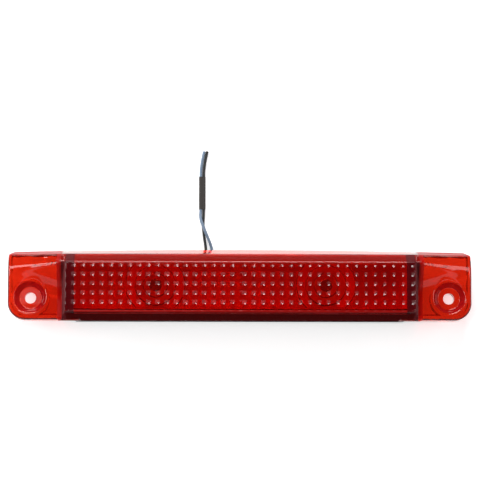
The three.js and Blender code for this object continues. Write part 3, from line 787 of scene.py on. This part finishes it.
def build_sleeve():
    """Shrunk tube round both leads: close to each, a little hollow between them, slightly wrinkled."""
    rng = np.random.default_rng(4)
    clearance, wall, wrinkle_depth, waist_depth = 0.02, 0.14, 0.035, 0.1
    middle_x = (SLEEVE_LOW[0] + SLEEVE_HIGH[0]) / 2
    middle_z = (SLEEVE_LOW[2] + SLEEVE_HIGH[2]) / 2
    half_z = (SLEEVE_HIGH[2] - SLEEVE_LOW[2]) / 2 - clearance
    centre = (SLEEVE_HIGH[0] - SLEEVE_LOW[0]) / 2 - clearance - half_z
    around, along = 56, 84
    angle = np.arange(around) * 2 * math.pi / around
    ys = np.linspace(SLEEVE_LOW[1] + clearance, SLEEVE_HIGH[1] - clearance, along)
    waves = [
        (rng.uniform(1, 3), rng.integers(1, 5), rng.uniform(0, 6.3), rng.uniform(0.5, 1))
        for _ in range(9)
    ]

    def ring(y, grown):
        wrinkle = sum(s * np.sin(w * y + k * angle + p) for w, k, p, s in waves) / len(waves)
        r = half_z + grown - wrinkle_depth * (1 + wrinkle)
        x = middle_x + np.sign(np.cos(angle)) * centre * np.minimum(1, np.abs(np.cos(angle)) * 3)
        waist = waist_depth * np.exp(-((np.cos(angle) * 3.2) ** 2))
        return np.column_stack([
            x + r * np.cos(angle), np.full(around, y), middle_z + (r - waist) * np.sin(angle),
        ])

    outer = [ring(y, 0) for y in ys]
    inner = [ring(y, -wall) for y in ys[::-1]]
    rings = outer + inner
    points = np.concatenate(rings)
    faces = []
    for k in range(len(rings)):
        a, b = k * around, (k + 1) % len(rings) * around
        faces += [(a + i, b + i, b + (i + 1) % around, a + (i + 1) % around) for i in range(around)]
    return smooth_by_angle(cleaned(mesh_object("sleeve", points, faces)), 45)


# ---- materials --------------------------------------------------------------------------

def principled(name, color, roughness, **sockets):
    material = bpy.data.materials.new(name)
    material.use_nodes = True
    shader = material.node_tree.nodes["Principled BSDF"]
    shader.inputs["Base Color"].default_value = (*color, 1)
    shader.inputs["Roughness"].default_value = roughness
    for socket, value in sockets.items():
        shader.inputs[socket.replace("_", " ")].default_value = value
    return material


def grained(material, scale, strength):
    """A fine moulded grain on a material's surface."""
    tree = material.node_tree
    shader = tree.nodes["Principled BSDF"]
    place = tree.nodes.new("ShaderNodeTexCoord")
    noise = tree.nodes.new("ShaderNodeTexNoise")
    noise.inputs["Scale"].default_value = scale
    noise.inputs["Detail"].default_value = 3.0
    bump = tree.nodes.new("ShaderNodeBump")
    bump.inputs["Strength"].default_value = strength
    bump.inputs["Distance"].default_value = 0.0002
    tree.links.new(place.outputs["Object"], noise.inputs["Vector"])
    tree.links.new(noise.outputs["Fac"], bump.inputs["Height"])
    tree.links.new(bump.outputs["Normal"], shader.inputs["Normal"])
    return material


def clear_to_lamps(material, tint):
    """Glass that shades with the Principled shader, and lets lamps' light through, tinted."""
    tree = material.node_tree
    shader = tree.nodes["Principled BSDF"]
    output = tree.nodes["Material Output"]
    path = tree.nodes.new("ShaderNodeLightPath")
    through = tree.nodes.new("ShaderNodeBsdfTransparent")
    through.inputs["Color"].default_value = (*tint, 1)
    mix = tree.nodes.new("ShaderNodeMixShader")
    tree.links.new(path.outputs["Is Shadow Ray"], mix.inputs["Fac"])
    tree.links.new(shader.outputs["BSDF"], mix.inputs[1])
    tree.links.new(through.outputs["BSDF"], mix.inputs[2])
    tree.links.new(mix.outputs["Shader"], output.inputs["Surface"])
    return material


RED = (0.56, 0.018, 0.004)
MATERIALS = {
    "red_acrylic": clear_to_lamps(
        principled("red_acrylic", RED, 0.015, Transmission_Weight=1.0, IOR=1.49), RED,
    ),
    "black_plastic": grained(principled("black_plastic", (0.012, 0.012, 0.013), 0.45), 900, 0.25),
    "sealant": principled("sealant", (0.03, 0.03, 0.032), 0.5),
    "gasket_foam": grained(principled("gasket_foam", (0.035, 0.033, 0.031), 0.95), 1400, 0.8),
    "reflector_film": principled("reflector_film", (0.86, 0.86, 0.87), 0.4, Metallic=0.4),
    "zinc_steel": principled("zinc_steel", (0.62, 0.62, 0.6), 0.3, Metallic=1.0),
    "socket_nylon": grained(principled("socket_nylon", (0.62, 0.63, 0.62), 0.5), 900, 0.2),
    "rubber": grained(principled("rubber", (0.015, 0.015, 0.015), 0.75), 700, 0.3),
    "bulb_glass": clear_to_lamps(
        principled("bulb_glass", (0.96, 0.98, 0.98), 0.0, Transmission_Weight=1.0, IOR=1.5),
        (0.93, 0.95, 0.95),
    ),
    "filament_metal": principled("filament_metal", (0.45, 0.44, 0.42), 0.35, Metallic=1.0),
    "contact_brass": principled("contact_brass", (0.72, 0.52, 0.22), 0.3, Metallic=1.0),
    "grey_sheath": grained(principled("grey_sheath", (0.19, 0.26, 0.36), 0.42), 500, 0.1),
    "black_sheath": grained(principled("black_sheath", (0.014, 0.015, 0.016), 0.4), 500, 0.1),
    "heat_shrink": grained(principled("heat_shrink", (0.035, 0.03, 0.027), 0.6), 350, 0.6),
}


def lens_material(name, color, roughness, transmission, tint=RED, **sockets):
    """A finish of the lens, or painted light and shade on it: red acrylic, clear or frosted, or a partly
    diffuse red painted darker or lighter.
    """
    made = principled("red_acrylic_" + name, color, roughness, Transmission_Weight=transmission, **sockets)
    return clear_to_lamps(made, tint)


# painted shade: the darker tint that lamps' light takes through the painted-shade faces
PAINTED_SHADE_TINT = (0.2, 0.01, 0.01)
LENS_FINISHES_AND_PAINTED_SHADE = [  # in the order that the faces' chooser counts them, after the clear one: inner and by_bulb are frosted, the others painted shade, the upper slope's painted light and shade
    lens_material("inner", (0.8, 0.03, 0.01), 0.22, 1.0, IOR=1.49),
    lens_material("by_bulb", (0.75, 0.02, 0.008), 0.3, 0.6, IOR=1.49),
    # painted shade: a dark, half-opaque red in the middle of the rings
    lens_material("centre", (0.25, 0.003, 0.005), 0.3, 0.5, IOR=1.49),
    # painted light and shade: a half-diffuse red that sets the upper slope's tone
    lens_material("upper", (0.45, 0.012, 0.008), 0.12, 0.45, IOR=1.49),
    # painted shade: dark red on the ring steps, the block's ends, and the ears' ends and edges
    lens_material("painted_shade", (0.13, 0.008, 0.011), 0.25, 0.2, PAINTED_SHADE_TINT, Specular_IOR_Level=0.15),
    # painted shade: dark glossy red on the face at the block's ends
    lens_material("painted_shade_face", (0.1, 0.003, 0.005), 0.03, 0.2, PAINTED_SHADE_TINT),
    # painted shade: near-black red on the lower side
    lens_material("lower", (0.085, 0.0, 0.0), 0.25, 0.2, PAINTED_SHADE_TINT, Specular_IOR_Level=0.0),
    # painted shade: darker red on the screw recesses' slopes
    lens_material("recess", (0.34, 0.004, 0.008), 0.08, 0.45, IOR=1.49),
    # painted shade: a dull, darker red where an ear meets the block, along the ears' upper edges and on the
    # face's lower edge
    lens_material("painted_dull_shade", (0.46, 0.001, 0.0), 0.3, 0.35, Specular_IOR_Level=0.05),
]
COPPER = principled("copper", (0.8, 0.42, 0.26), 0.3, Metallic=1.0)
TABLE = principled(
    "table", (0.93, 0.93, 0.93), 0.9, Emission_Color=(1, 1, 1, 1), Emission_Strength=0.52,
)


def painted(obj, material):
    obj.data.materials.clear()
    obj.data.materials.append(material)
    return obj


# ---- pieces -----------------------------------------------------------------------------

SLOTS = {part["node"]: part["material_slot"] for part in frame["record"]["subparts"]}


def add_piece(obj, slot, stands_for=()):
    """Lets a new piece ride on the lamp, in its slot's material unless it already has its own."""
    if len(obj.data.materials) == 0:
        painted(obj, MATERIALS[slot])
    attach(obj, "lamp")
    if stands_for:
        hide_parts(*stands_for)


for node, obj in NODES.items():
    painted(obj, MATERIALS[SLOTS[node]])

for node, (lead, strands) in leads.items():
    add_piece(lead, SLOTS[node])
    add_piece(painted(strands, COPPER), SLOTS[node])
add_piece(build_sleeve(), "heat_shrink", stands_for=["heat_shrink_sleeve"])
add_piece(build_lens(), "red_acrylic", stands_for=["lens"])


# ---- stage ------------------------------------------------------------------------------

def add_light(name, place, aim, size, power):
    """A rectangular soft box. Place and aim in millimetres; size is its width and height."""
    data = bpy.data.lights.new(name, "AREA")
    data.shape = "RECTANGLE"
    data.size, data.size_y = size[0] * MM, size[1] * MM
    data.energy = power
    light = bpy.data.objects.new(name, data)
    bpy.context.scene.collection.objects.link(light)
    back = (Vector(place) - Vector(aim)).normalized()
    right = Vector((0, 1, 0)).cross(back)
    right = right.normalized() if right.length > 1e-3 else Vector((1, 0, 0))
    turn = Matrix((right, back.cross(right), back)).transposed().to_4x4()
    light.matrix_world = Matrix.Translation(Vector(place) * MM) @ turn


def add_stage():
    reach, height, sides = 3000, 1100, 48
    corners = [(-reach, -reach), (reach, -reach), (reach, reach), (-reach, reach)]
    floor = mesh_object("table", [(*xy, -0.05) for xy in corners], [(0, 1, 2, 3)], smooth=False)
    painted(floor, TABLE)
    turn = [2 * math.pi * k / sides for k in range(sides)]
    points = [(reach * math.cos(a), reach * math.sin(a), z) for z in (-0.1, height) for a in turn]
    faces = [(k, sides + k, sides + (k + 1) % sides, (k + 1) % sides) for k in range(sides)]
    backdrop = mesh_object("backdrop", points, faces)
    # seen only directly, in low views: it neither lights the lamp nor shows in it
    backdrop.visible_glossy = backdrop.visible_diffuse = False
    backdrop.visible_transmission = backdrop.visible_shadow = False
    painted(backdrop, TABLE)
    world = bpy.data.worlds.new("world")
    world.use_nodes = True
    world.node_tree.nodes["Background"].inputs["Color"].default_value = (1, 1, 1, 1)
    world.node_tree.nodes["Background"].inputs["Strength"].default_value = 0.02
    bpy.context.scene.world = world
    middle = (0, 0, 20)
    add_light("sheen", (-375, 1050, 1250), middle, (1050, 480), 0.5)
    add_light("key", (-145, 170, 1250), middle, (150, 150), 0.62)
    add_light("halo", (-230, 330, 1270), middle, (520, 420), 0.6)
    add_light("left", (-1258, -60, 817), middle, (530, 1380), 13)
    add_light("right", (1258, -60, 817), middle, (530, 1380), 7)
    add_light("back", (-200, 1258, 817), middle, (1100, 530), 20)
    add_light("front", (0, -1258, 817), middle, (2100, 530), 2.5)


add_stage()

scene = bpy.context.scene
scene.view_settings.view_transform = "Standard"
scene.cycles.use_denoising = True
scene.cycles.max_bounces = 32
scene.cycles.transmission_bounces = 28
scene.cycles.transparent_max_bounces = 24
scene.cycles.glossy_bounces = 12
scene.cycles.diffuse_bounces = 6
scene.cycles.sample_clamp_indirect = 6
